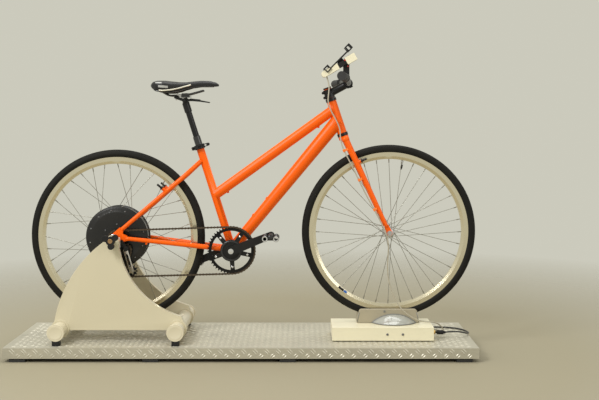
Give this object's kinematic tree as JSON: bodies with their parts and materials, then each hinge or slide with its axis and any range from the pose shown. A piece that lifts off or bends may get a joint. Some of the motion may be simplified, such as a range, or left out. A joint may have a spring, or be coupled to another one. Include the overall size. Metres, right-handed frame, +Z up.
{
  "type": "bicycle on stand",
  "caption": "Flat-bar bicycle with a hub motor, clamped in a rear stand, with a front wheel steering base, on a low tread-plate platform.",
  "frame": {"origin": "on the floor under the third row of the platform's pads, in the bicycle's middle plane", "axes": "+X the way the bicycle faces, +Y its left side, +Z up"},
  "size_m": [1.8245, 0.6672, 1.2143],
  "materials": {
    "tread_aluminium": "embossed, lightly worn",
    "frame_steel": "matt black",
    "black_rubber": "matt",
    "cream_plastic": "satin moulded",
    "cream_metal": "powder coat",
    "black_plastic": "fine texture",
    "bright_alloy": "polished",
    "hood_gloss": "gloss",
    "taupe_plastic": "satin",
    "brass": "turned",
    "tyre_rubber": "tread",
    "rim_alloy": "brushed and polished",
    "spoke_steel": "bright",
    "motor_black": "satin black",
    "axle_steel": "zinc",
    "orange_paint": "gloss lacquer",
    "black_anodised": "anodised",
    "silver_anodised": "satin",
    "saddle_cover": "synthetic cover",
    "chain_steel": "oiled",
    "cable_grey": "matt sheath",
    "cable_black": "matt sheath"
  },
  "bodies": {
    "stand_and_frame": {"deck_frame": "frame_steel", "rubber_pads": "black_rubber", "stand_panel_near": "cream_plastic", "stand_panel_far": "cream_plastic", "stand_tubes": "cream_metal", "stand_feet": "black_plastic", "axle_holders": "bright_alloy", "base_box": "cream_plastic", "base_lids": "cream_plastic", "base_socket": "brass", "cable_plugs": "black_plastic", "base_cable": "cable_black", "base_cable_coil": "cable_black", "console_cable_lower": "cable_grey", "console_cable_coil": "cable_grey", "frame": "orange_paint", "bearing_cups": "black_anodised", "rear_brake_posts": "black_anodised", "seat_clamp": "black_anodised", "seatpost_outer": "silver_anodised", "rear_axle": "axle_steel", "derailleur_body": "black_anodised", "derailleur_cage": "bright_alloy", "chain": "chain_steel", "deck_plates": "tread_aluminium"},
    "turntable": {"wheel_cradle": "taupe_plastic", "turntable_hood": "hood_gloss"},
    "steering": {"fork": "orange_paint", "front_brake_posts": "black_anodised", "stem": "black_anodised", "handlebar": "black_anodised", "grips": "black_rubber", "console_body": "cream_plastic", "console_jaws": "black_plastic", "front_axle": "axle_steel", "console_cable_upper": "cable_grey", "stem_faceplate": "black_anodised"},
    "front_wheel": {"front_tyre": "tyre_rubber", "front_rim": "rim_alloy", "front_spokes": "spoke_steel", "front_hub": "silver_anodised"},
    "rear_wheel": {"rear_tyre": "tyre_rubber", "rear_rim": "rim_alloy", "rear_spokes": "spoke_steel", "hub_motor": "motor_black"},
    "crankset": {"chainring": "black_anodised", "crank_right": "black_anodised", "crank_left": "black_anodised"},
    "pedal_right": {"pedal_right": "black_plastic"},
    "pedal_left": {"pedal_left": "black_plastic"},
    "rear_sprocket": {"rear_sprocket": "chain_steel"},
    "pulley_tension": {"pulley_tension": "black_plastic"},
    "pulley_guide": {"pulley_guide": "black_plastic"},
    "seatpost_upper": {"seatpost_stanchion": "black_anodised", "saddle": "saddle_cover", "saddle_rails": "silver_anodised"},
    "dropper_lever": {"dropper_lever": "black_anodised"},
    "seat_qr_lever": {"seat_qr_lever": "black_plastic"},
    "knob_near": {"knob_near": "black_plastic"},
    "knob_far": {"knob_far": "black_plastic"}
  },
  "joints": [
    {"name": "steer", "type": "hinge", "parent": "stand_and_frame", "child": "steering", "pos_m": [0.214, 0, 0.864], "axis": [-0.3223, 0, 0.9466], "range_deg": [-15, 15], "deforming": ["console_cable_lower"]},
    {"name": "cradle_turn", "type": "hinge", "parent": "stand_and_frame", "child": "turntable", "pos_m": [0.47068, 0, 0.11], "axis": [0, 0, 1], "range_deg": [-14.5, 14.5]},
    {"name": "front_wheel_spin", "type": "hinge", "parent": "steering", "child": "front_wheel", "pos_m": [0.4, 0, 0.4716], "axis": [0, 1, 0], "continuous": true},
    {"name": "rear_wheel_spin", "type": "hinge", "parent": "stand_and_frame", "child": "rear_wheel", "pos_m": [-0.678, 0, 0.4526], "axis": [0, 1, 0], "continuous": true},
    {"name": "crank_spin", "type": "hinge", "parent": "stand_and_frame", "child": "crankset", "pos_m": [-0.224, 0, 0.402], "axis": [0, 1, 0], "continuous": true, "deforming": ["chain"]},
    {"name": "pedal_right_spin", "type": "hinge", "parent": "crankset", "child": "pedal_right", "pos_m": [-0.06638, 0, 0.46568], "axis": [0, 1, 0], "continuous": true},
    {"name": "pedal_left_spin", "type": "hinge", "parent": "crankset", "child": "pedal_left", "pos_m": [-0.38162, 0, 0.33832], "axis": [0, 1, 0], "continuous": true},
    {"name": "sprocket_spin", "type": "hinge", "parent": "stand_and_frame", "child": "rear_sprocket", "pos_m": [-0.678, 0, 0.4526], "axis": [0, 1, 0], "continuous": true},
    {"name": "pulley_tension_spin", "type": "hinge", "parent": "stand_and_frame", "child": "pulley_tension", "pos_m": [-0.6176, 0, 0.32021], "axis": [0, 1, 0], "continuous": true},
    {"name": "pulley_guide_spin", "type": "hinge", "parent": "stand_and_frame", "child": "pulley_guide", "pos_m": [-0.641, 0, 0.404], "axis": [0, 1, 0], "continuous": true},
    {"name": "post_height", "type": "slide", "parent": "stand_and_frame", "child": "seatpost_upper", "axis": [-0.2975, 0, 0.9547], "range_m": [-0.095, 0]},
    {"name": "dropper_lever_pull", "type": "hinge", "parent": "seatpost_upper", "child": "dropper_lever", "pos_m": [-0.38425, 0, 0.9949], "axis": [0, -1, 0], "range_deg": [0, 12], "stiffness_Nm_per_rad": 0.6, "springref_deg": -8.59},
    {"name": "seat_lever_open", "type": "hinge", "parent": "stand_and_frame", "child": "seat_qr_lever", "pos_m": [-0.37431, -0.021, 0.80203], "axis": [0.2975, 0, -0.9547], "range_deg": [0, 165]},
    {"name": "knob_near_turn", "type": "hinge", "parent": "stand_and_frame", "child": "knob_near", "pos_m": [-0.678, 0, 0.4526], "axis": [0, -1, 0], "range_deg": [0, 350]},
    {"name": "knob_far_turn", "type": "hinge", "parent": "stand_and_frame", "child": "knob_far", "pos_m": [-0.678, 0, 0.4526], "axis": [0, 1, 0], "range_deg": [0, 350]}
  ],
  "couplings": [
    {"joint": "cradle_turn", "follows": "steer", "ratio": 0.9466},
    {"joint": "sprocket_spin", "follows": "crank_spin", "ratio": 3.2857},
    {"joint": "pulley_tension_spin", "follows": "crank_spin", "ratio": 4.1818},
    {"joint": "pulley_guide_spin", "follows": "crank_spin", "ratio": -4.1818}
  ]
}
